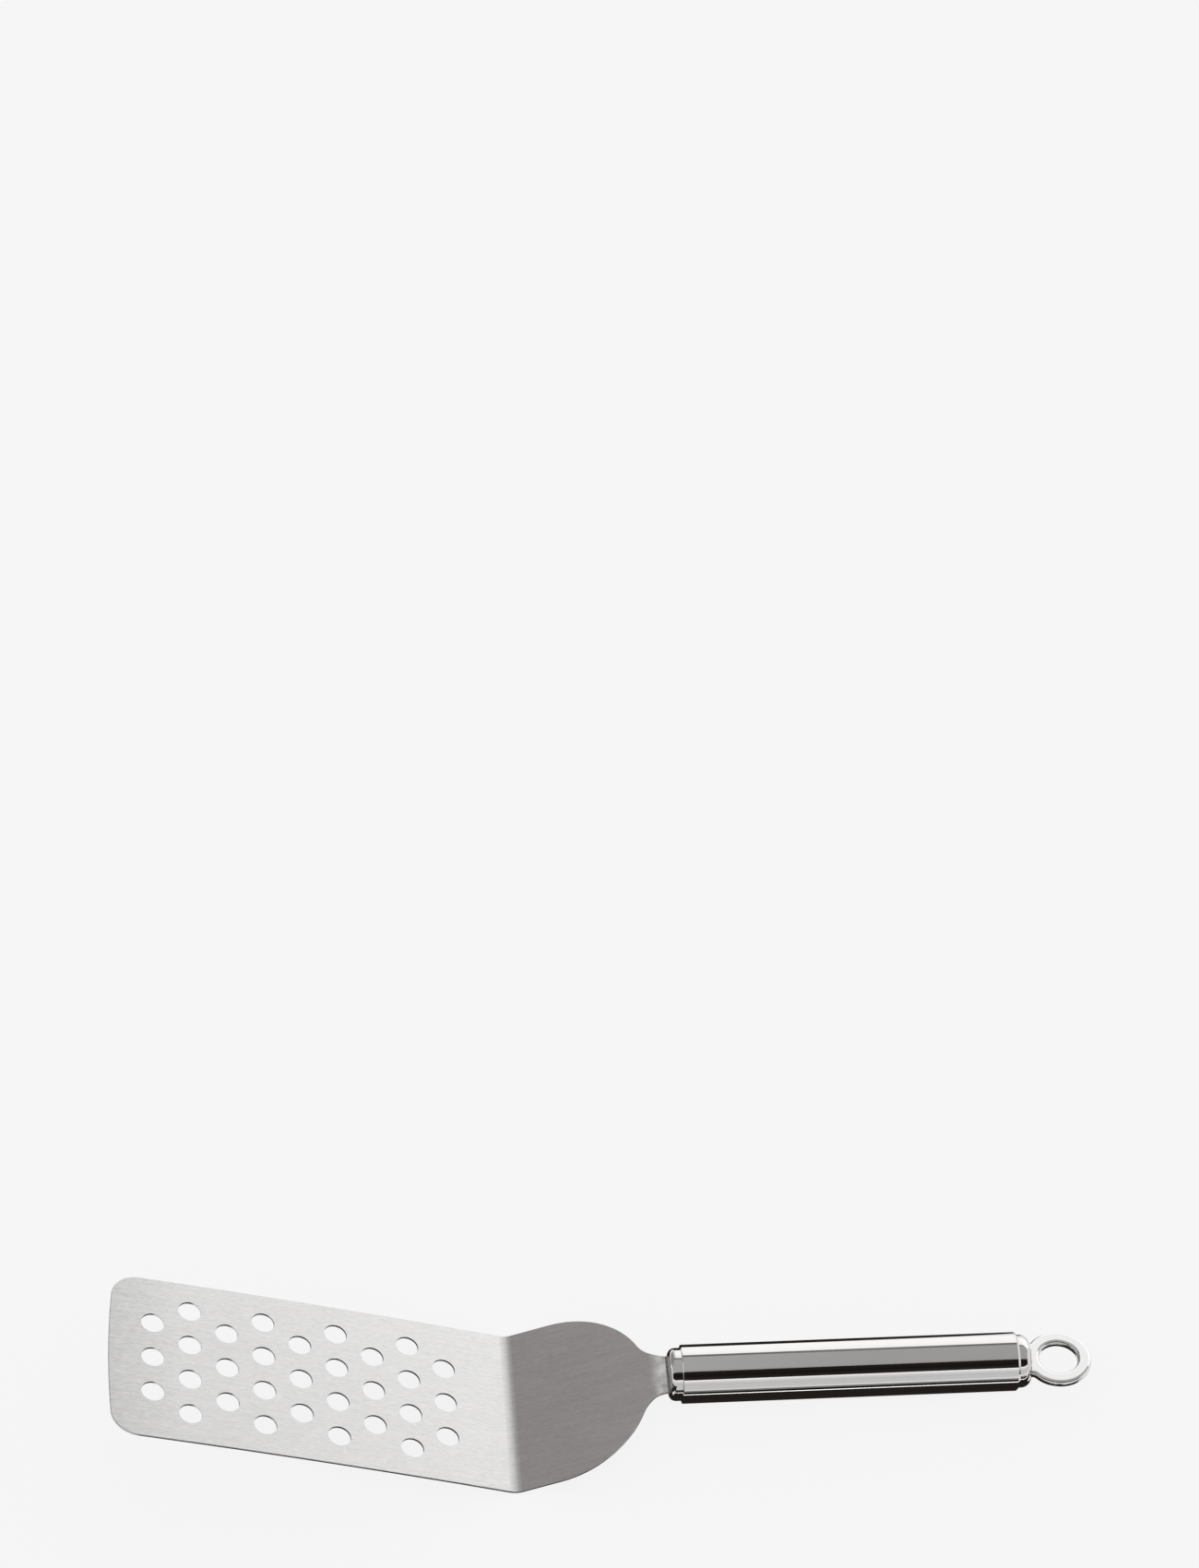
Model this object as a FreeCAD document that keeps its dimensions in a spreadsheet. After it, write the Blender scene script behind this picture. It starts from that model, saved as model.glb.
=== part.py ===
import FreeCAD, Part
import math
import os

import Sketcher

# A kitchen turner of stainless steel in five pieces: a perforated and folded sheet blade, a round
# tube handle closed by a turned plug at each end, and a flat hanging ring behind the rear plug.
# It lies as it comes to rest: on the outside of the heel fold and the rear rim of the tube.
# +X runs from the blade's tip to the ring, +Z is up, and y = 0 is the plane of symmetry.

SIZES = [
    # Blade: the panel is measured to the heel fold line, where the two mid-planes meet.
    ("sheet_thickness", 0.75, "thickness of the blade's sheet"),
    ("sheet_edge_radius", 0.2, "rounding of the blade's rim on both faces"),
    ("blade_width", 68.2, "width of the panel and diameter of the shoulder's half disc"),
    ("panel_length", 141.4, "from the middle of the tip to the heel fold line"),
    ("panel_crown_radius", 2590.0, "radius of the panel's slight crown along its length"),
    ("tip_bow_radius", 350.0, "radius of the slightly bowed tip edge"),
    ("tip_corner_radius", 9.5, "corners of the tip"),
    ("heel_bend_radius", 6.0, "inside radius of the heel bend"),
    ("shoulder_angle", 36.9, "rise of the shoulder over the panel, degrees"),
    ("shoulder_length", 52.2, "from the heel fold line to the neck fold line"),
    ("disc_start", 16.1, "from the heel fold line to the middle of the half disc"),
    ("shoulder_fillet", 11.5, "concave radius from the half disc into the neck"),
    ("neck_width", 15.8, "width of the neck where it meets the plug"),
    ("neck_bend_radius", 9.0, "inside radius of the neck bend"),
    ("neck_length", 4.3, "from the neck fold line to the plug's face"),
    ("handle_angle", 17.0, "rise of the handle's axis over the panel, degrees"),
    # Perforation: staggered columns, short ones first and last.
    ("hole_diameter", 8.0, "diameter of one hole"),
    ("hole_pitch", 14.8, "distance between neighbouring holes of a column"),
    ("short_column_count", 5, "columns with the smaller number of holes"),
    ("holes_in_short_column", 3, "holes in one short column"),
    ("tip_to_first_column", 15.2, "from the middle of the tip to the middle of the first column"),
    ("last_column_to_heel", 23.5, "from the middle of the last column to the heel fold line"),
    # Handle
    ("tube_diameter", 20.0, "outer diameter of the tube"),
    ("tube_wall", 1.0, "wall of the tube"),
    ("tube_length", 115.4, "length of the tube"),
    ("front_rim_chamfer", 0.2, "chamfer of the tube's front rim"),
    ("rear_rim_chamfer", 0.8, "chamfer of the tube's rear rim"),
    ("plug_clearance", 0.03, "radial clearance of a plug in the tube"),
    ("plug_seat_length", 10.0, "length of a plug inside the tube"),
    ("plug_lead_in", 0.6, "chamfer at the inner end of a plug"),
    ("front_nose_length", 4.4, "front plug standing out of the tube"),
    ("front_nose_radius", 2.4, "rounded edge of the front plug"),
    ("rear_nose_length", 4.5, "rear plug standing out of the tube"),
    ("rear_nose_radius", 3.4, "rounded edge of the rear plug"),
    # Hanging ring
    ("ring_outer_radius", 11.3, "outer radius of the ring"),
    ("ring_hole_radius", 6.6, "radius of the hanging hole"),
    ("ring_thickness", 3.0, "thickness of the ring"),
    ("ring_edge_radius", 1.1, "rounding of the ring's edges"),
    ("ring_neck_width", 13.2, "width of the ring's neck at the plug"),
    ("ring_neck_length", 0.2, "straight length of the ring's neck"),
    ("ring_neck_fillet", 1.1, "concave radius from the ring's neck into the ring"),
]

TRIM_MARGIN = 6.0  # how far the uncut sheet and the trimming outlines reach past the finished outline
START, END, CENTRE = 1, 2, 3  # ends and centre of a line or an arc in a sketch
X_AXIS, Y_AXIS, ORIGIN = -1, -2, (-1, 1)  # a sketch's own axes and origin
ON = 1e-4  # a length taken as none, where faces and edges are told apart
SLANT = 1.1  # no edge through the sheet is longer than this many thicknesses

doc = FreeCAD.newDocument("turner")


def make_sheet():
    """The spreadsheet of driving dimensions, one named cell each."""
    sheet = doc.addObject("Spreadsheet::Sheet", "sizes")
    for row, (alias, value, note) in enumerate(SIZES, start=1):
        sheet.set(f"A{row}", alias)
        sheet.set(f"B{row}", str(value))
        sheet.setAlias(f"B{row}", alias)
        sheet.set(f"C{row}", note)
    doc.recompute()
    return sheet


sheet = make_sheet()


def size(alias):
    """The value of one driving dimension."""
    return float(sheet.get(alias))


def half(alias):
    """Half of one driving dimension."""
    return size(alias) / 2


def plane_of(body, role):
    """An origin plane or axis of a body, found by its role."""
    return next(item for item in body.Origin.OriginFeatures if item.Role == role)


def new_body(label):
    """An empty body with its label."""
    body = doc.addObject("PartDesign::Body", label)
    body.Label = label
    return body


def new_sketch(body, name, role):
    """A sketch on one of the body's own origin planes."""
    sketch = body.newObject("Sketcher::SketchObject", name)
    sketch.AttachmentSupport = [(plane_of(body, role), "")]
    sketch.MapMode = "FlatFace"
    return sketch


def line(sketch, start, end, construction=False):
    """A straight line between two points of the sketch plane."""
    segment = Part.LineSegment(FreeCAD.Vector(*start, 0), FreeCAD.Vector(*end, 0))
    return sketch.addGeometry(segment, construction)


def arc(sketch, centre, radius, first, last):
    """An arc drawn anticlockwise from one angle to the other, in degrees."""
    circle = Part.Circle(FreeCAD.Vector(*centre, 0), FreeCAD.Vector(0, 0, 1), radius)
    return sketch.addGeometry(Part.ArcOfCircle(circle, math.radians(first), math.radians(last)))


def constrain(sketch, kind, *places):
    """One geometric constraint."""
    return sketch.addConstraint(Sketcher.Constraint(kind, *places))


def dimension(sketch, kind, places, name, expression, value):
    """A named dimension that follows an expression on the sheet."""
    index = sketch.addConstraint(Sketcher.Constraint(kind, *places, value))
    sketch.renameConstraint(index, name)
    sketch.setExpression(f"Constraints.{name}", expression)


def worth(expression):
    """The number that an expression on the sheet comes to."""
    value = sheet.evalExpression(expression)
    return float(getattr(value, "Value", value))


def locate(sketch, geometry, end, x=None, y=None):
    """Holds a point of the sketch at the expressions given for its place."""
    for way, zero_line, expression in (("X", Y_AXIS, x), ("Y", X_AXIS, y)):
        if expression is None:
            continue
        value = worth(expression)
        if abs(value) < ON:
            constrain(sketch, "PointOnObject", geometry, end, zero_line)
        else:
            name = f"{way}_of_{geometry}_{end}"
            dimension(sketch, f"Distance{way}", (*ORIGIN, geometry, end), name, expression, value)


def closed_polygon(sketch, corners):
    """A closed run of straight lines through corners that are pairs of expressions."""
    spots = [(worth(x), worth(y)) for x, y in corners]
    sides = [line(sketch, spot, spots[(index + 1) % len(spots)]) for index, spot in enumerate(spots)]
    for index, side in enumerate(sides):
        constrain(sketch, "Coincident", side, END, sides[(index + 1) % len(sides)], START)
        locate(sketch, side, START, *corners[index])


def at_angle(centre, radius, degrees):
    """The point of a circle at an angle."""
    turn = math.radians(degrees)
    return centre[0] + radius * math.cos(turn), centre[1] + radius * math.sin(turn)


def edges_where(shape, wanted):
    """Names of the edges of a shape that a test picks."""
    return [f"Edge{number}" for number, edge in enumerate(shape.Edges, start=1) if wanted(edge)]


def round_off(body, name, wanted, radius):
    """A fillet on those edges of the body that a test picks, with its radius as an expression."""
    base = body.Tip
    fillet = body.newObject("PartDesign::Fillet", name)
    fillet.Base = (base, edges_where(base.Shape, wanted))
    fillet.setExpression("Radius", radius)
    doc.recompute()


def cut(body, name, sketch):
    """A pocket through everything on both sides of its sketch, with proof that it removed metal."""
    before = body.Tip.Shape.Volume
    pocket = body.newObject("PartDesign::Pocket", name)
    pocket.Profile = sketch
    pocket.SideType = "Symmetric"
    pocket.Type = "ThroughAll"
    doc.recompute()
    if pocket.Shape.Volume >= before:
        raise RuntimeError(f"{name} removes nothing")
    return pocket


# The middle of the crown's arcs lies below the panel. Their mid-line meets the X axis at tip and heel.
CROWN_X = "-sizes.panel_length / 2"
CROWN_Y = "-sqrt(sizes.panel_crown_radius ^ 2 - (sizes.panel_length / 2) ^ 2)"


def crown_and_heel():
    """The middles of the crown and of the heel bend, whose arcs touch one another and the shoulder."""
    crown = (worth(CROWN_X), worth(CROWN_Y))
    inside = size("heel_bend_radius") + half("sheet_thickness")
    reach = size("panel_crown_radius") + inside
    along = at_angle((0, 0), 1, size("shoulder_angle"))
    across = at_angle((0, 0), inside, size("shoulder_angle") + 90)
    start = (across[0] - crown[0], across[1] - crown[1])
    lean = start[0] * along[0] + start[1] * along[1]
    travel = math.sqrt(lean ** 2 + reach ** 2 - start[0] ** 2 - start[1] ** 2) - lean
    return crown, (across[0] + travel * along[0], across[1] + travel * along[1])


def fold_profile(body):
    """The closed side outline of the folded sheet: two parallel runs of lines and arcs, joined at the ends.

    Crowned panel, heel bend, shoulder, neck bend and neck follow one another on each side of the mid-line.
    The mid-line of the panel starts and ends on the X axis, and the heel fold line is the origin. The
    mid-line of the shoulder and of the neck is drawn as construction.
    """
    rise, lift = size("shoulder_angle"), size("handle_angle")
    thick, middle = size("sheet_thickness"), half("sheet_thickness")
    heel, bend = size("heel_bend_radius"), size("neck_bend_radius")
    fold = at_angle((0, 0), size("shoulder_length"), rise)
    face = at_angle(fold, size("neck_length"), lift)
    crown_radius = size("panel_crown_radius")
    crown_centre, heel_centre = crown_and_heel()
    heel_turn = math.degrees(math.atan2(crown_centre[1] - heel_centre[1], crown_centre[0] - heel_centre[0]))
    bend_reach = (bend + middle) / math.cos(math.radians((rise - lift) / 2))
    bend_centre = at_angle(fold, bend_reach, (rise + lift) / 2 - 90)
    sketch = new_sketch(body, "fold_profile", "XZ_Plane")

    def tip_turn(radius):
        """The angle at which an arc of the crown reaches the tip."""
        return 180 - math.degrees(math.acos((size("panel_length") + crown_centre[0]) / radius))

    def run(heel_radius, bend_radius, offset):
        """One side of the sheet, from the tip to the neck's end."""
        radius = crown_radius + offset
        return [
            arc(sketch, crown_centre, radius, heel_turn + 180, tip_turn(radius)),
            arc(sketch, heel_centre, heel_radius, heel_turn, rise - 90),
            line(sketch, at_angle(heel_centre, heel_radius, rise - 90),
                 at_angle(bend_centre, bend_radius, rise + 90)),
            arc(sketch, bend_centre, bend_radius, lift + 90, rise + 90),
            line(sketch, at_angle(bend_centre, bend_radius, lift + 90), at_angle(face, offset, lift + 90)),
        ]

    upper = run(heel, bend + thick, middle)
    lower = run(heel + thick, bend, -middle)
    tip = line(sketch, *(at_angle(crown_centre, crown_radius + side, tip_turn(crown_radius + side))
                         for side in (middle, -middle)))
    end = line(sketch, at_angle(face, middle, lift + 90), at_angle(face, -middle, lift + 90))
    shoulder_mid = line(sketch, (0, 0), fold, construction=True)
    neck_mid = line(sketch, fold, face, construction=True)

    for panel, heel_arc, shoulder, neck_arc, neck in (upper, lower):
        constrain(sketch, "Tangent", panel, START, heel_arc, START)
        constrain(sketch, "Tangent", heel_arc, END, shoulder, START)
        constrain(sketch, "Tangent", shoulder, END, neck_arc, END)
        constrain(sketch, "Tangent", neck_arc, START, neck, START)
        constrain(sketch, "Coincident", panel, END, tip, START if panel == upper[0] else END)
        constrain(sketch, "Coincident", neck, END, end, START if panel == upper[0] else END)
    constrain(sketch, "Vertical", tip)
    constrain(sketch, "Coincident", upper[0], CENTRE, lower[0], CENTRE)
    constrain(sketch, "Coincident", upper[1], CENTRE, lower[1], CENTRE)
    constrain(sketch, "Coincident", upper[3], CENTRE, lower[3], CENTRE)
    constrain(sketch, "Coincident", shoulder_mid, START, *ORIGIN)
    constrain(sketch, "Coincident", neck_mid, START, shoulder_mid, END)
    constrain(sketch, "Parallel", upper[2], shoulder_mid)
    constrain(sketch, "Parallel", lower[2], shoulder_mid)
    constrain(sketch, "Parallel", upper[4], neck_mid)
    constrain(sketch, "Symmetric", end, START, end, END, neck_mid, END)
    constrain(sketch, "Perpendicular", end, neck_mid)
    locate(sketch, upper[0], CENTRE, x=CROWN_X, y=CROWN_Y)
    dimension(sketch, "Radius", (upper[0],), "crown_above",
              "sizes.panel_crown_radius + sizes.sheet_thickness / 2", crown_radius + middle)
    dimension(sketch, "Radius", (lower[0],), "crown_below",
              "sizes.panel_crown_radius - sizes.sheet_thickness / 2", crown_radius - middle)
    dimension(sketch, "Distance", (end,), "thickness", "sizes.sheet_thickness", thick)
    dimension(sketch, "Distance", (*ORIGIN, upper[2]), "half_thickness",
              "sizes.sheet_thickness / 2", middle)
    dimension(sketch, "DistanceX", (tip, START, *ORIGIN), "panel",
              "sizes.panel_length", size("panel_length"))
    dimension(sketch, "Radius", (upper[1],), "heel_inside", "sizes.heel_bend_radius", heel)
    dimension(sketch, "Radius", (lower[3],), "neck_inside", "sizes.neck_bend_radius", bend)
    dimension(sketch, "Distance", (shoulder_mid,), "shoulder",
              "sizes.shoulder_length", size("shoulder_length"))
    dimension(sketch, "Distance", (neck_mid,), "neck", "sizes.neck_length", size("neck_length"))
    dimension(sketch, "Angle", (X_AXIS, START, shoulder_mid, START), "rise",
              "sizes.shoulder_angle * 1deg", math.radians(rise))
    dimension(sketch, "Angle", (X_AXIS, START, neck_mid, START), "lift",
              "sizes.handle_angle * 1deg", math.radians(lift))
    doc.recompute()
    return sketch


def shoulder_outline(body):
    """The finished outline, seen square to the shoulder, inside a frame that reaches past the stock.

    Straight sides end in a half disc as wide as the blade, which runs into the neck through fillets.
    """
    wide, narrow = half("blade_width"), half("neck_width")
    middle, fillet = size("disc_start"), size("shoulder_fillet")
    back = -size("panel_length") - TRIM_MARGIN
    front = size("shoulder_length") + size("neck_length") + TRIM_MARGIN
    meet = math.acos((narrow + fillet) / (wide + fillet))
    fillet_at = middle + (wide + fillet) * math.sin(meet)
    turn = 90 - math.degrees(meet)
    sketch = new_sketch(body, "shoulder_outline", "XY_Plane")
    sketch.AttachmentOffset = FreeCAD.Placement(
        FreeCAD.Vector(), FreeCAD.Rotation(FreeCAD.Vector(0, -1, 0), size("shoulder_angle")))
    sketch.setExpression("AttachmentOffset.Rotation.Angle", "sizes.shoulder_angle * 1deg")

    def flank(side):
        """Side, quarter of the disc, fillet and neck edge on one side of the mid-line."""
        disc_span = (turn, 90) if side > 0 else (-90, -turn)
        fillet_span = (180 + turn, 270) if side > 0 else (90, 180 - turn)
        return [
            line(sketch, (back, side * wide), (middle, side * wide)),
            arc(sketch, (middle, 0), wide, *disc_span),
            arc(sketch, (fillet_at, side * (narrow + fillet)), fillet, *fillet_span),
            line(sketch, (fillet_at, side * narrow), (front, side * narrow)),
        ]

    far, near = flank(1), flank(-1)
    rear = line(sketch, (back, wide), (back, -wide))
    end = line(sketch, (front, narrow), (front, -narrow))
    for (edge, disc, hollow, neck), first, last in ((far, START, END), (near, END, START)):
        constrain(sketch, "Tangent", edge, END, disc, last)
        constrain(sketch, "Tangent", disc, first, hollow, first)
        constrain(sketch, "Tangent", hollow, last, neck, START)
        constrain(sketch, "Coincident", edge, START, rear, first)
        constrain(sketch, "Coincident", neck, END, end, first)
    constrain(sketch, "Coincident", far[1], CENTRE, near[1], CENTRE)
    constrain(sketch, "PointOnObject", far[1], CENTRE, X_AXIS)
    constrain(sketch, "Equal", far[2], near[2])
    constrain(sketch, "Symmetric", rear, START, rear, END, X_AXIS)
    constrain(sketch, "Symmetric", end, START, end, END, X_AXIS)
    for level in (far[0], far[3], near[0], near[3]):
        constrain(sketch, "Horizontal", level)
    dimension(sketch, "Distance", (rear,), "width", "sizes.blade_width", size("blade_width"))
    dimension(sketch, "Distance", (end,), "neck", "sizes.neck_width", size("neck_width"))
    dimension(sketch, "Radius", (far[2],), "fillet", "sizes.shoulder_fillet", fillet)
    dimension(sketch, "DistanceX", (*ORIGIN, far[1], CENTRE), "disc", "sizes.disc_start", middle)
    locate(sketch, rear, START, x=f"-sizes.panel_length - {TRIM_MARGIN}")
    locate(sketch, end, START, x=f"sizes.shoulder_length + sizes.neck_length + {TRIM_MARGIN}")
    rear_x = f"-sizes.panel_length - {2 * TRIM_MARGIN}"
    front_x = f"sizes.shoulder_length + sizes.neck_length + {2 * TRIM_MARGIN}"
    near_y = f"-sizes.blade_width / 2 - {2 * TRIM_MARGIN}"
    far_y = f"sizes.blade_width / 2 + {2 * TRIM_MARGIN}"
    closed_polygon(sketch, [(rear_x, near_y), (front_x, near_y), (front_x, far_y), (rear_x, far_y)])
    doc.recompute()
    return sketch


def tip_waste(body):
    """What is cut off in front of the bowed tip edge."""
    bow = size("tip_bow_radius")
    reach = half("blade_width") + TRIM_MARGIN
    middle = bow - size("panel_length")
    spread = math.degrees(math.asin(reach / bow))
    outer = -size("panel_length") - TRIM_MARGIN
    sketch = new_sketch(body, "tip_waste", "XY_Plane")
    edge = arc(sketch, (middle, 0), bow, 180 - spread, 180 + spread)
    far = line(sketch, at_angle((middle, 0), bow, 180 - spread), (outer, reach))
    front = line(sketch, (outer, reach), (outer, -reach))
    near = line(sketch, (outer, -reach), at_angle((middle, 0), bow, 180 + spread))
    constrain(sketch, "Coincident", edge, START, far, START)
    constrain(sketch, "Coincident", far, END, front, START)
    constrain(sketch, "Coincident", front, END, near, START)
    constrain(sketch, "Coincident", near, END, edge, END)
    constrain(sketch, "Horizontal", far)
    constrain(sketch, "Horizontal", near)
    constrain(sketch, "Symmetric", front, START, front, END, X_AXIS)
    constrain(sketch, "PointOnObject", edge, CENTRE, X_AXIS)
    dimension(sketch, "Radius", (edge,), "bow", "sizes.tip_bow_radius", bow)
    locate(sketch, edge, CENTRE, x="sizes.tip_bow_radius - sizes.panel_length")
    locate(sketch, front, START, x=f"-sizes.panel_length - {TRIM_MARGIN}",
           y=f"sizes.blade_width / 2 + {TRIM_MARGIN}")
    doc.recompute()
    return sketch


def perforate(body, name, columns, holes):
    """Every second column of the field: one hole, patterned along the panel and across it.

    The numbers of columns and of holes are expressions. Short columns reach both ends of the field,
    and the long ones stand halfway between them.
    """
    field = "(sizes.panel_length - sizes.tip_to_first_column - sizes.last_column_to_heel)"
    column_step = f"{field} / (sizes.short_column_count - 1)"
    field_middle = f"(-sizes.last_column_to_heel - {field} / 2)"
    sketch = new_sketch(body, f"{name}_hole", "XY_Plane")
    first_x = f"{field_middle} - ({columns} - 1) / 2 * {column_step}"
    first_y = f"-({holes} - 1) / 2 * sizes.hole_pitch"
    spot = FreeCAD.Vector(worth(first_x), worth(first_y), 0)
    circle = sketch.addGeometry(Part.Circle(spot, FreeCAD.Vector(0, 0, 1), half("hole_diameter")), False)
    dimension(sketch, "Diameter", (circle,), "hole", "sizes.hole_diameter", size("hole_diameter"))
    locate(sketch, circle, CENTRE, x=first_x, y=first_y)
    doc.recompute()
    hole = cut(body, f"{name}_pocket", sketch)
    pattern = body.newObject("PartDesign::LinearPattern", f"{name}_columns")
    pattern.Originals = [hole]
    pattern.Direction = (sketch, ["H_Axis"])
    pattern.Direction2 = (sketch, ["V_Axis"])
    pattern.setExpression("Length", f"({columns} - 1) * {column_step}")
    pattern.setExpression("Length2", f"({holes} - 1) * sizes.hole_pitch")
    pattern.setExpression("Occurrences", columns)
    pattern.setExpression("Occurrences2", holes)
    body.Tip = pattern
    doc.recompute()


def make_blade():
    """The sheet: folded stock, trimmed to its outline, perforated, with its rim rounded."""
    body = new_body("blade")
    profile = fold_profile(body)
    stock = body.newObject("PartDesign::Pad", "folded_stock")
    stock.Profile = profile
    stock.SideType = "Symmetric"
    stock.setExpression("Length", f"sizes.blade_width + 2 * {TRIM_MARGIN}")
    doc.recompute()
    cut(body, "outline_trim", shoulder_outline(body))
    cut(body, "tip_trim", tip_waste(body))
    longest_through = SLANT * size("sheet_thickness")
    tip_zone = -size("panel_length") + size("tip_corner_radius")

    def tip_corner(edge):
        return edge.Length < longest_through and edge.CenterOfMass.x < tip_zone

    round_off(body, "tip_corners", tip_corner, "sizes.tip_corner_radius")
    perforate(body, "short", "sizes.short_column_count", "sizes.holes_in_short_column")
    perforate(body, "long", "(sizes.short_column_count - 1)", "(sizes.holes_in_short_column + 1)")

    def rim(edge):
        """Outline edges of both faces: no hole, nothing through the thickness or along a fold."""
        if edge.isClosed():
            return False
        if not isinstance(edge.Curve, Part.Line):
            return True
        return edge.Length > longest_through and abs(edge.Curve.Direction.y) < 1 - ON

    round_off(body, "rim_rounding", rim, "sizes.sheet_edge_radius")
    return body


def turned(label, points, rounding=None):
    """A turned piece: the polygon of its half section, revolved about its own X axis.

    The points are pairs of expressions. The outer edge at x = 0 is rounded if a radius is given.
    """
    body = new_body(label)
    sketch = new_sketch(body, f"{label}_section", "XZ_Plane")
    closed_polygon(sketch, points)
    doc.recompute()
    revolved = body.newObject("PartDesign::Revolution", f"{label}_turning")
    revolved.Profile = sketch
    revolved.ReferenceAxis = (sketch, ["H_Axis"])
    revolved.Angle = 360
    doc.recompute()
    if rounding:
        round_off(body, f"{label}_rounding", lambda edge: abs(edge.CenterOfMass.x) < ON, rounding)
    return body


def make_plug(label, nose_length, nose_radius):
    """A plug with its outer face at x = 0: a rounded nose, then the seat inside the tube."""
    radius = "(sizes.tube_diameter / 2 - sizes.tube_wall - sizes.plug_clearance)"
    length = f"({nose_length} + sizes.plug_seat_length)"
    points = [
        ("0", "0"),
        ("0", radius),
        (f"{length} - sizes.plug_lead_in", radius),
        (length, f"{radius} - sizes.plug_lead_in"),
        (length, "0"),
    ]
    return turned(label, points, nose_radius)


def make_tube():
    """The tube, with its front rim at x = 0."""
    outer = "sizes.tube_diameter / 2"
    inner = "(sizes.tube_diameter / 2 - sizes.tube_wall)"
    points = [
        ("0", inner),
        ("0", f"{outer} - sizes.front_rim_chamfer"),
        ("sizes.front_rim_chamfer", outer),
        ("sizes.tube_length - sizes.rear_rim_chamfer", outer),
        ("sizes.tube_length", f"{outer} - sizes.rear_rim_chamfer"),
        ("sizes.tube_length", inner),
    ]
    return turned("handle_tube", points)


def make_ring():
    """The hanging ring, with the end of its neck at x = 0: a flat outline with a hole and rounded edges."""
    outer, fillet = size("ring_outer_radius"), size("ring_neck_fillet")
    narrow, straight = half("ring_neck_width"), size("ring_neck_length")
    reach = math.sqrt((outer + fillet) ** 2 - (narrow + fillet) ** 2)
    turn = math.degrees(math.asin((narrow + fillet) / (outer + fillet)))
    middle = straight + reach
    body = new_body("hanging_ring")
    sketch = new_sketch(body, "ring_outline", "XY_Plane")
    rim = arc(sketch, (middle, 0), outer, turn - 180, 180 - turn)
    far_fillet = arc(sketch, (straight, narrow + fillet), fillet, 270, 360 - turn)
    near_fillet = arc(sketch, (straight, -narrow - fillet), fillet, turn, 90)
    far_neck = line(sketch, (0, narrow), (straight, narrow))
    near_neck = line(sketch, (0, -narrow), (straight, -narrow))
    end = line(sketch, (0, narrow), (0, -narrow))
    hole = sketch.addGeometry(Part.Circle(FreeCAD.Vector(middle, 0, 0), FreeCAD.Vector(0, 0, 1),
                                          size("ring_hole_radius")), False)
    constrain(sketch, "Tangent", rim, END, far_fillet, END)
    constrain(sketch, "Tangent", rim, START, near_fillet, START)
    constrain(sketch, "Tangent", far_fillet, START, far_neck, END)
    constrain(sketch, "Tangent", near_fillet, END, near_neck, END)
    constrain(sketch, "Coincident", end, START, far_neck, START)
    constrain(sketch, "Coincident", end, END, near_neck, START)
    constrain(sketch, "Symmetric", end, START, end, END, *ORIGIN)
    constrain(sketch, "Vertical", end)
    constrain(sketch, "Horizontal", far_neck)
    constrain(sketch, "Horizontal", near_neck)
    constrain(sketch, "PointOnObject", rim, CENTRE, X_AXIS)
    constrain(sketch, "Coincident", hole, CENTRE, rim, CENTRE)
    constrain(sketch, "Equal", far_fillet, near_fillet)
    dimension(sketch, "Radius", (rim,), "outer", "sizes.ring_outer_radius", outer)
    dimension(sketch, "Radius", (hole,), "hole", "sizes.ring_hole_radius", size("ring_hole_radius"))
    dimension(sketch, "Radius", (far_fillet,), "fillet", "sizes.ring_neck_fillet", fillet)
    dimension(sketch, "Distance", (end,), "neck", "sizes.ring_neck_width", size("ring_neck_width"))
    dimension(sketch, "Distance", (far_neck,), "straight", "sizes.ring_neck_length", straight)
    doc.recompute()
    plate = body.newObject("PartDesign::Pad", "ring_plate")
    plate.Profile = sketch
    plate.SideType = "Symmetric"
    plate.setExpression("Length", "sizes.ring_thickness")
    doc.recompute()
    level = half("ring_thickness")

    def face_edge(edge):
        """Edges of the two flat faces, apart from those on the neck's end."""
        box = edge.BoundBox
        return box.ZLength < ON and abs(abs(box.Center.z) - level) < ON and box.XMax > ON

    round_off(body, "ring_edges", face_edge, "sizes.ring_edge_radius")
    return body


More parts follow.
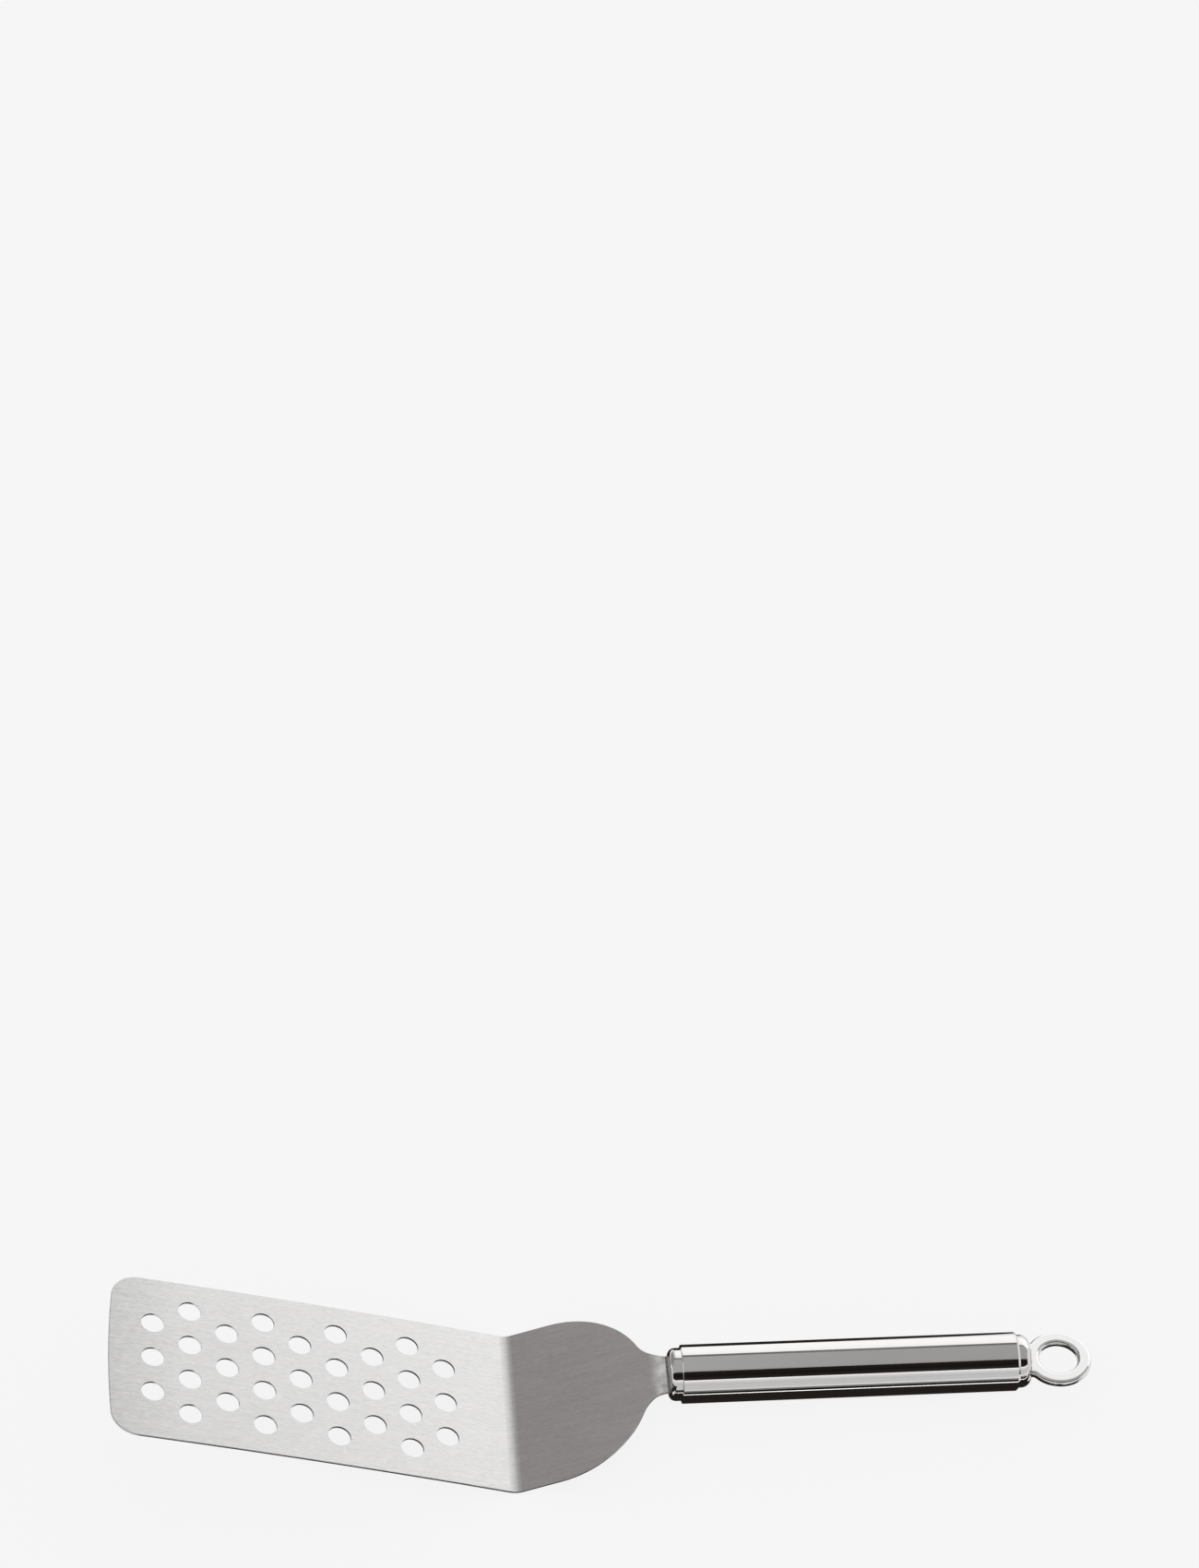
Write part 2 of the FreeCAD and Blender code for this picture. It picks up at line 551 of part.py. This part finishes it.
def place_at_rest(bodies):
    """Puts the pieces together and lays them on the heel bend and the rear rim of the tube."""
    def about_y(degrees):
        return FreeCAD.Rotation(FreeCAD.Vector(0, 1, 0), degrees)

    def along(distance):
        return FreeCAD.Placement(FreeCAD.Vector(distance, 0, 0), FreeCAD.Rotation())

    rise, lift = size("shoulder_angle"), size("handle_angle")
    fold = at_angle((0, 0), size("shoulder_length"), rise)
    face = at_angle(fold, size("neck_length"), lift)
    handle = FreeCAD.Placement(FreeCAD.Vector(face[0], 0, face[1]), about_y(-lift))
    rear_face = size("front_nose_length") + size("tube_length") + size("rear_nose_length")
    turned_back = FreeCAD.Placement(FreeCAD.Vector(), FreeCAD.Rotation(FreeCAD.Vector(0, 0, 1), 180))

    # The floor touches the outside of the heel bend and passes through the lowest point of the rear rim.
    bend_radius = size("heel_bend_radius") + size("sheet_thickness")
    bend = crown_and_heel()[1]
    rim_x = size("front_nose_length") + size("tube_length") - size("rear_rim_chamfer")
    rim = handle.multVec(FreeCAD.Vector(rim_x, 0, -half("tube_diameter")))
    run, climb = rim.x - bend[0], rim.z - bend[1]
    tilt = math.degrees(math.atan2(climb, run) + math.asin(bend_radius / math.hypot(run, climb)))
    lying = FreeCAD.Placement(FreeCAD.Vector(), about_y(tilt))

    places = {
        "blade": lying,
        "front_end_cap": lying * handle,
        "handle_tube": lying * handle * along(size("front_nose_length")),
        "rear_end_cap": lying * handle * along(rear_face) * turned_back,
        "hanging_ring": lying * handle * along(rear_face),
    }
    for body in bodies:
        body.Placement = places[body.Label]
    doc.recompute()
    box = Part.makeCompound([body.Shape for body in bodies]).optimalBoundingBox(False)
    shift = FreeCAD.Placement(FreeCAD.Vector(-box.Center.x, 0, -box.ZMin), FreeCAD.Rotation())
    for body in bodies:
        body.Placement = shift * places[body.Label]
    doc.recompute()
    return tilt


def write(bodies):
    """Checks every object of the document, then writes each piece."""
    for item in doc.Objects:
        if "Invalid" in item.State or "Error" in item.State:
            raise RuntimeError(f"{item.Name} failed: {item.State}")
    for body in bodies:
        if body.Shape.isNull() or not body.Shape.isValid() or len(body.Shape.Solids) != 1:
            raise RuntimeError(f"{body.Label} is not one sound solid")
    os.makedirs("parts", exist_ok=True)
    for body in bodies:
        body.Shape.exportStep(f"parts/{body.Label}.step")
        print(body.Label, round(body.Shape.Volume, 1), "cubic millimetres")


bodies = [
    make_blade(),
    make_plug("front_end_cap", "sizes.front_nose_length", "sizes.front_nose_radius"),
    make_tube(),
    make_plug("rear_end_cap", "sizes.rear_nose_length", "sizes.rear_nose_radius"),
    make_ring(),
]
print("panel rises", round(place_at_rest(bodies), 2), "degrees towards the tip")
write(bodies)
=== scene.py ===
import math

import bpy
import numpy as np
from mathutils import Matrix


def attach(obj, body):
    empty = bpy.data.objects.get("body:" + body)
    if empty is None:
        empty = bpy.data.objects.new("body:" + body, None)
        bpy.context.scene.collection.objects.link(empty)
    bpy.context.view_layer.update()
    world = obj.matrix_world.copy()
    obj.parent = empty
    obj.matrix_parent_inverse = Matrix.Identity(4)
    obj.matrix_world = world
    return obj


# A perforated kitchen turner of stainless steel, lying on a pale table in a soft studio tent.
# Lengths are in metres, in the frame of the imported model: +X from the blade's tip to the ring, +Z up.

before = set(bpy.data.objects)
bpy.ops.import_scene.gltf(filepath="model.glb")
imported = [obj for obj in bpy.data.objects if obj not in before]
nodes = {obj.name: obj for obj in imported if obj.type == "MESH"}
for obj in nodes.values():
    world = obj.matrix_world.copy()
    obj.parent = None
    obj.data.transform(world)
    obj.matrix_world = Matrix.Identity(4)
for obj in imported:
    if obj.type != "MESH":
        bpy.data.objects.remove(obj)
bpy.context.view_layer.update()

TIP = -0.166  # the blade's far end, along X
WELD = 0.021  # the front plug's face, where the neck is welded on
BEAD_STEPS, BEAD_SIDES = 160, 12

TENT_RADIUS = 2.5
TENT_AXIS_HEIGHT = 0.012
TENT_STEP = 1.5  # degrees of the tent's curve that one row of quads spans
TENT_LEFT, TENT_RIGHT = -5.0, 4.0
SOFTBOX_LEFT = -0.85
TABLE_HEIGHT = -0.0002
SHEET_HEIGHT = -0.0001
BAND_LEFT, BAND_RIGHT = 0.012, 0.160
TABLE_REACH = 12.0

PALE = 0.9216  # the photograph's even background, as linear light
TABLE_PAINT = 0.92
SHADOWED = 0.06  # share of the table's look that takes the object's shadow
NEUTRAL = (1.0, 1.0, 1.0)
GREY_CLOTH = (1.0, 0.905, 0.89)
WARM_GREY = (1.0, 0.985, 0.975)
WARM_DARK = (1.0, 0.80, 0.72)
EVEN = [(TENT_LEFT, 1.0), (TENT_RIGHT, 1.0)]  # the same brightness all along X


class Wire:
    """A socket that gives a value over a surface. Sums, differences and products of wires add Math nodes."""

    def __init__(self, tree, socket):
        self.tree, self.socket = tree, socket

    def math(self, operation, first, second):
        return add_node(self.tree, "ShaderNodeMath", {"operation": operation}, {0: first, 1: second})

    def __add__(self, other):
        return self.math("ADD", self, other)

    def __radd__(self, other):
        return self.math("ADD", other, self)

    def __sub__(self, other):
        return self.math("SUBTRACT", self, other)

    def __rsub__(self, other):
        return self.math("SUBTRACT", other, self)

    def __mul__(self, other):
        return self.math("MULTIPLY", self, other)

    def __rmul__(self, other):
        return self.math("MULTIPLY", other, self)


def add_node(tree, kind, settings, links, output=0):
    """Adds a node, with its settings first and then its sockets' values or wires. Returns an output's wire."""
    node = tree.nodes.new(kind)
    for name, value in settings.items():
        setattr(node, name, value)
    for name, value in links.items():
        if isinstance(value, Wire):
            tree.links.new(value.socket, node.inputs[name])
        else:
            node.inputs[name].default_value = value
    return Wire(tree, node.outputs[output])


def new_material(name):
    """A material with an empty node tree."""
    material = bpy.data.materials.new(name)
    material.use_nodes = True
    material.node_tree.nodes.clear()
    return material, material.node_tree


def finish_surface(tree, shader):
    """Joins a shader to the material's output."""
    out = tree.nodes.new("ShaderNodeOutputMaterial")
    tree.links.new(shader.socket, out.inputs["Surface"])


def stretched_noise(tree, grain, detail=3.0, roughness=0.5):
    """Noise on Object coordinates, with the number of grains per metre along X, Y and Z."""
    place = add_node(tree, "ShaderNodeTexCoord", {}, {}, "Object")
    scaled = add_node(tree, "ShaderNodeMapping", {}, {"Vector": place, "Scale": grain})
    return add_node(tree, "ShaderNodeTexNoise", {"noise_dimensions": "3D"},
                    {"Vector": scaled, "Scale": 1.0, "Detail": detail, "Roughness": roughness})


def along_blade(tree, start, end, low, high):
    """A value that runs from low to high between two places along X, and stays level beyond them."""
    place = add_node(tree, "ShaderNodeTexCoord", {}, {}, "Object")
    reach = add_node(tree, "ShaderNodeSeparateXYZ", {}, {"Vector": place}, "X")
    limits = {"From Min": start, "From Max": end, "To Min": low, "To Max": high}
    return add_node(tree, "ShaderNodeMapRange", {"clamp": True}, {"Value": reach, **limits}, "Result")


def blend(tree, share, first, second):
    """A colour between two others, by a share from 0 to 1."""
    return add_node(tree, "ShaderNodeMix", {"data_type": "RGBA"}, {0: share, 6: first, 7: second}, 2)


def steel_surface(tree, colour, roughness, links):
    """Bare metal with this colour and roughness, joined to the material's output."""
    sockets = {"Base Color": colour, "Metallic": 1.0, "Roughness": roughness, **links}
    finish_surface(tree, add_node(tree, "ShaderNodeBsdfPrincipled", {}, sockets))


def brushed_steel():
    """Satin sheet: short fine scratches along the blade, stronger near the tip, painted shade that darkens the
    tip, and heat stains by the weld.
    """
    material, tree = new_material("brushed_steel_sheet")
    hairlines = stretched_noise(tree, (420.0, 4200.0, 420.0), 3.0, 0.62)
    strokes = stretched_noise(tree, (40.0, 1000.0, 40.0), 3.0, 0.55)
    clouds = stretched_noise(tree, (30.0, 42.0, 30.0), 2.0, 0.5)
    blotches = stretched_noise(tree, (420.0, 300.0, 420.0), 3.0, 0.6)
    contrast = along_blade(tree, TIP + 0.006, TIP + 0.031, 1.7, 1.0)
    tone = 0.5 + ((hairlines - 0.5) * 2.4 + (strokes - 0.5) * 0.9) * contrast
    colour = blend(tree, tone, (0.560, 0.555, 0.552, 1.0), (0.722, 0.716, 0.712, 1.0))
    # Painted shade: the tip's colour is scaled to 0.87 at its end and rises to full 24 mm along the blade.
    tip_painted_shade = add_node(tree, "ShaderNodeVectorMath", {"operation": "SCALE"},
                    {0: colour, "Scale": along_blade(tree, TIP, TIP + 0.024, 0.87, 1.0)})
    stain = along_blade(tree, WELD - 0.0065, WELD - 0.0005, 0.0, 1.0) * (blotches - 0.42) * 3.0
    stained = blend(tree, stain, tip_painted_shade, (0.26, 0.245, 0.235, 1.0))
    gloss = 0.335 + (strokes - 0.5) * 0.10 + (clouds - 0.5) * 0.05
    relief = add_node(tree, "ShaderNodeBump", {},
                      {"Strength": 0.35, "Distance": 0.00004, "Height": hairlines})
    steel_surface(tree, stained, gloss, {"Normal": relief})
    return material


def weld_metal():
    """The bead of a weld: dark scaly steel."""
    material, tree = new_material("weld_bead")
    scale = stretched_noise(tree, (900.0, 1300.0, 900.0), 3.0, 0.6)
    colour = blend(tree, scale, (0.10, 0.09, 0.085, 1.0), (0.42, 0.40, 0.385, 1.0))
    relief = add_node(tree, "ShaderNodeBump", {}, {"Strength": 0.5, "Distance": 0.00008, "Height": scale})
    steel_surface(tree, colour, 0.42, {"Normal": relief})
    return material


def polished_steel(name, colour, roughness):
    """Bright steel: an even mirror with a faint haze."""
    material, tree = new_material(name)
    haze = stretched_noise(tree, (160.0, 60.0, 60.0), 3.0, 0.55)
    darker, lighter = (tuple(share * c for c in colour) + (1.0,) for share in (0.97, 1.02))
    steel_surface(tree, blend(tree, haze, darker, lighter), roughness + (haze - 0.5) * 0.03, {})
    return material


def mesh_piece(name, points, faces, finish, smooth=False):
    """A mesh object at the origin, in one finish, from an array of points and a list of faces."""
    mesh = bpy.data.meshes.new(name)
    mesh.from_pydata(points.tolist(), [], faces)
    mesh.validate()
    mesh.materials.append(finish)
    mesh.polygons.foreach_set("use_smooth", [smooth] * len(mesh.polygons))
    piece = bpy.data.objects.new(name, mesh)
    bpy.context.scene.collection.objects.link(piece)
    return piece


def grid_faces(rows, columns):
    """Quads of an open grid of points, row by row."""
    corner = (np.arange(rows - 1)[:, None] * columns + np.arange(columns - 1)).ravel()
    return np.stack([corner, corner + 1, corner + columns + 1, corner + columns], axis=1).tolist()


def bead(name, start, end, radius, finish):
    """A ragged weld bead along a straight seam, closed at its two ends.

    A point at the share u of the seam and the angle v round it lies at start + u (end - start),
    plus r cos v along X and r sin v along Z, where r is radius times sqrt(1 - (2u - 1)^20) times
    1 + 0.16 sin 47u + 0.12 sin(83u + 1) + 0.08 sin(131u + 2).
    """
    u = np.linspace(0.0, 1.0, BEAD_STEPS + 1)
    v = np.linspace(0.0, 2.0 * np.pi, BEAD_SIDES + 1)[:-1]
    ragged = 1.0 + 0.16 * np.sin(47.0 * u) + 0.12 * np.sin(83.0 * u + 1.0) + 0.08 * np.sin(131.0 * u + 2.0)
    r = radius * np.sqrt(np.clip(1.0 - (2.0 * u - 1.0) ** 20, 0.0, 1.0)) * ragged
    line = np.array(start) + u[:, None] * (np.array(end) - np.array(start))
    rings = line[:, None, :] + r[:, None, None] * np.stack([np.cos(v), 0.0 * v, np.sin(v)], axis=-1)
    points = np.concatenate([rings[1:-1].reshape(-1, 3), [start], [end]])

    first_pole, last_pole = len(points) - 2, len(points) - 1
    here = np.arange(BEAD_SIDES)
    beside = (here + 1) % BEAD_SIDES
    row = np.arange(BEAD_STEPS - 2)[:, None] * BEAD_SIDES
    corners = (row + here, row + here + BEAD_SIDES, row + beside + BEAD_SIDES, row + beside)
    sides = np.stack([corner.ravel() for corner in corners], axis=1)
    last_ring = (BEAD_STEPS - 2) * BEAD_SIDES
    start_cap = np.stack([np.full(BEAD_SIDES, first_pole), here, beside], axis=1)
    end_cap = np.stack([np.full(BEAD_SIDES, last_pole), last_ring + beside, last_ring + here], axis=1)

    faces = sides.tolist() + start_cap.tolist() + end_cap.tolist()
    piece = mesh_piece(name, points, faces, finish, smooth=True)
    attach(piece, "root")
    return piece


def glow(name):
    """A glowing card of the studio, whose light is kept at the corners of its mesh."""
    material, tree = new_material(name)
    light = add_node(tree, "ShaderNodeAttribute", {"attribute_name": "light"}, {}, "Color")
    shader = add_node(tree, "ShaderNodeEmission", {}, {"Color": light, "Strength": 1.0})
    finish_surface(tree, shader)
    return material


def lit_card(name, points, faces, levels, tint):
    """A card with a brightness for each of its points. It is seen in polished metal only."""
    card = mesh_piece(name, points, faces, glow(name))
    light = card.data.attributes.new("light", "FLOAT_COLOR", "POINT")
    colours = np.concatenate([levels[:, None] * np.array(tint), np.ones((len(points), 1))], axis=1)
    light.data.foreach_set("color", colours.ravel())
    card.visible_camera = False
    card.visible_diffuse = False
    card.visible_shadow = False
    return card


def curtain(name, stops, across, tint):
    """A strip of the studio's tent, a cylinder about the handle's line, with a graded light.

    A point is (x, -R cos a, h + R sin a), where the angle a is 0 in front at table height, 90 overhead
    and 180 behind. Its brightness is the value at a, between the stops (angle, value), times the
    value at x, between the stops (x, value) of across.
    """
    angles, values = np.array(stops).T
    places, shares = np.array(across).T
    steps = max(2, int((angles[-1] - angles[0]) / TENT_STEP) + 1)
    angle = np.union1d(np.linspace(angles[0], angles[-1], steps), angles)
    a, x = np.meshgrid(np.radians(angle), places, indexing="ij")
    points = np.stack([x, -TENT_RADIUS * np.cos(a), TENT_AXIS_HEIGHT + TENT_RADIUS * np.sin(a)], axis=-1)
    levels = np.interp(angle, angles, values)[:, None] * shares
    return lit_card(name, points.reshape(-1, 3), grid_faces(len(angle), len(places)), levels.ravel(), tint)


def sheet_on_table(name, corners, tint, level):
    """A flat sheet close over the table, given by its corners in order."""
    points = np.array([(x, y, SHEET_HEIGHT) for x, y in corners])
    return lit_card(name, points, [list(range(len(corners)))], np.full(len(corners), level), tint)


def band_on_table(name, outer, inner, tint, level):
    """A strip along the handle's near side. Each edge is given by its y at x = 0.035 and at x = 0.135."""
    def edge_at(edge, x):
        return edge[0] + (edge[1] - edge[0]) * (x - 0.035) / 0.1

    corners = [(BAND_LEFT, edge_at(outer, BAND_LEFT)), (BAND_RIGHT, edge_at(outer, BAND_RIGHT)),
               (BAND_RIGHT, edge_at(inner, BAND_RIGHT)), (BAND_LEFT, edge_at(inner, BAND_LEFT))]
    return sheet_on_table(name, corners, tint, level)


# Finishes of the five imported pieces.
blade_finish = brushed_steel()
tube_finish = polished_steel("polished_steel_tube", (0.70, 0.69, 0.68), 0.05)
plug_finish = polished_steel("polished_steel_plugs", (0.70, 0.69, 0.68), 0.06)
ring_finish = polished_steel("polished_steel_ring", (0.765, 0.762, 0.76), 0.12)
for node, finish in (
    ("blade", blade_finish),
    ("front_end_cap", plug_finish),
    ("handle_tube", tube_finish),
    ("rear_end_cap", plug_finish),
    ("hanging_ring", ring_finish),
):
    nodes[node].material_slots[0].material = finish

# The tent: soft boxes, a grey ceiling and dark flags, each one seen only in the metal.
curtain("back_softbox",
        [(124.2, 1.07), (128.0, 1.16), (134.0, 1.26), (140.0, 1.38), (150.0, 1.43), (179.0, 1.43)],
        [(SOFTBOX_LEFT, 0.26), (-0.25, 0.56), (0.28, 0.94), (0.7, 0.94), (1.1, 1.00), (1.5, 1.10),
         (TENT_RIGHT, 1.13)], NEUTRAL)
curtain("back_left_flag", [(100.0, 0.335), (179.0, 0.335)],
        [(TENT_LEFT, 1.0), (SOFTBOX_LEFT, 1.0)], GREY_CLOTH)
curtain("shadow_gap", [(119.0, 0.30), (121.5, 0.18), (124.1, 0.24)],
        [(SOFTBOX_LEFT, 1.0), (TENT_RIGHT, 1.0)], NEUTRAL)
curtain("ceiling", [(58.6, 0.41), (66.0, 0.46), (118.9, 0.47)],
        [(TENT_LEFT, 1.10), (0.36, 1.09), (0.52, 1.0), (TENT_RIGHT, 1.0)], WARM_GREY)
curtain("camera_flag", [(24.5, 0.035), (40.0, 0.012), (58.5, 0.022)], EVEN, WARM_DARK)
curtain("front_card", [(0.1, 0.69), (4.0, 0.70), (9.0, 0.74), (15.0, 0.84), (21.0, 1.08), (24.4, 1.50)],
        EVEN, NEUTRAL)

# Strips and sheets on the table, which draw the lines along the handle's lower side.
band_on_table("grey_band", (-0.057, -0.0456), (-0.0425, -0.0342), NEUTRAL, 0.24)
band_on_table("black_band", (-0.0425, -0.0342), (-0.0304, -0.0250), WARM_DARK, 0.01)
band_on_table("light_band", (-0.0304, -0.0250), (-0.0284, -0.0233), NEUTRAL, 2.4)
sheet_on_table("grey_foreground", [(0.0125, -1.5), (2.0, -1.5), (2.0, -0.075), (0.0125, -0.075)],
               NEUTRAL, 0.74)
sheet_on_table("dark_sheet",
               [(-0.165, -0.60), (0.012, -0.60), (0.012, -0.036), (0.003, -0.036), (0.003, -0.013),
                (0.012, -0.013), (0.012, -0.0295), (0.150, -0.0222), (0.150, 1.6), (0.012, 1.6),
                (0.012, 0.085), (-0.165, 0.085)], WARM_DARK, 0.022)
sheet_on_table("dark_patch_in_ring",
               [(0.1502, -0.0030), (0.1630, -0.0030), (0.1630, 0.0075), (0.1502, 0.0075)], WARM_DARK, 0.022)
sheet_on_table("dark_strip_under_ring",
               [(0.150, -0.0222), (0.180, -0.0205), (0.180, -0.0120), (0.150, -0.0120)], WARM_DARK, 0.03)

# The seam where the blade's neck is welded to the front plug.
bead("neck_weld", (WELD, -0.0079, 0.01574), (WELD, 0.0079, 0.01574), 0.00038, weld_metal())

# Camera, glossy and transmission rays mostly see the table's pale tone itself. The rest takes light and shadow.
table_finish, tree = new_material("pale_table")
seen = add_node(tree, "ShaderNodeLightPath", {}, {}, "Is Camera Ray")
mirrored = add_node(tree, "ShaderNodeLightPath", {}, {}, "Is Glossy Ray")
through = add_node(tree, "ShaderNodeLightPath", {}, {}, "Is Transmission Ray")
paint = add_node(tree, "ShaderNodeBsdfDiffuse", {}, {"Color": (TABLE_PAINT, TABLE_PAINT, TABLE_PAINT, 1.0)})
shine_level = (PALE - SHADOWED * TABLE_PAINT * PALE) / (1 - SHADOWED)
shine = add_node(tree, "ShaderNodeEmission", {}, {"Color": (1.0, 1.0, 1.0, 1.0), "Strength": shine_level})
sharp = (seen + mirrored + through) * (1 - SHADOWED)
finish_surface(tree, add_node(tree, "ShaderNodeMixShader", {}, {0: sharp, 1: paint, 2: shine}))
table_corners = np.array([(-1, -1), (1, -1), (1, 1), (-1, 1)]) * TABLE_REACH
table_points = np.column_stack([table_corners, np.full(4, TABLE_HEIGHT)])
mesh_piece("table", table_points, [[0, 1, 2, 3]], table_finish)

# The surround and the camera.
world = bpy.data.worlds.new("pale_studio")
bpy.context.scene.world = world
world.use_nodes = True
world.node_tree.nodes.clear()
sky = add_node(world.node_tree, "ShaderNodeBackground", {},
               {"Color": (PALE, PALE, PALE, 1.0), "Strength": 1.0})
out = world.node_tree.nodes.new("ShaderNodeOutputWorld")
world.node_tree.links.new(sky.socket, out.inputs["Surface"])

lens = bpy.data.cameras.new("camera")
lens.lens = 105.882
camera = bpy.data.objects.new("camera", lens)
camera.location = (-0.057359, -1.006138, 1.234205)
camera.rotation_euler = [math.radians(a) for a in (46.92922, 0.91485, -4.23694)]
bpy.context.scene.collection.objects.link(camera)
bpy.context.scene.camera = camera
bpy.context.scene.view_settings.view_transform = "Standard"
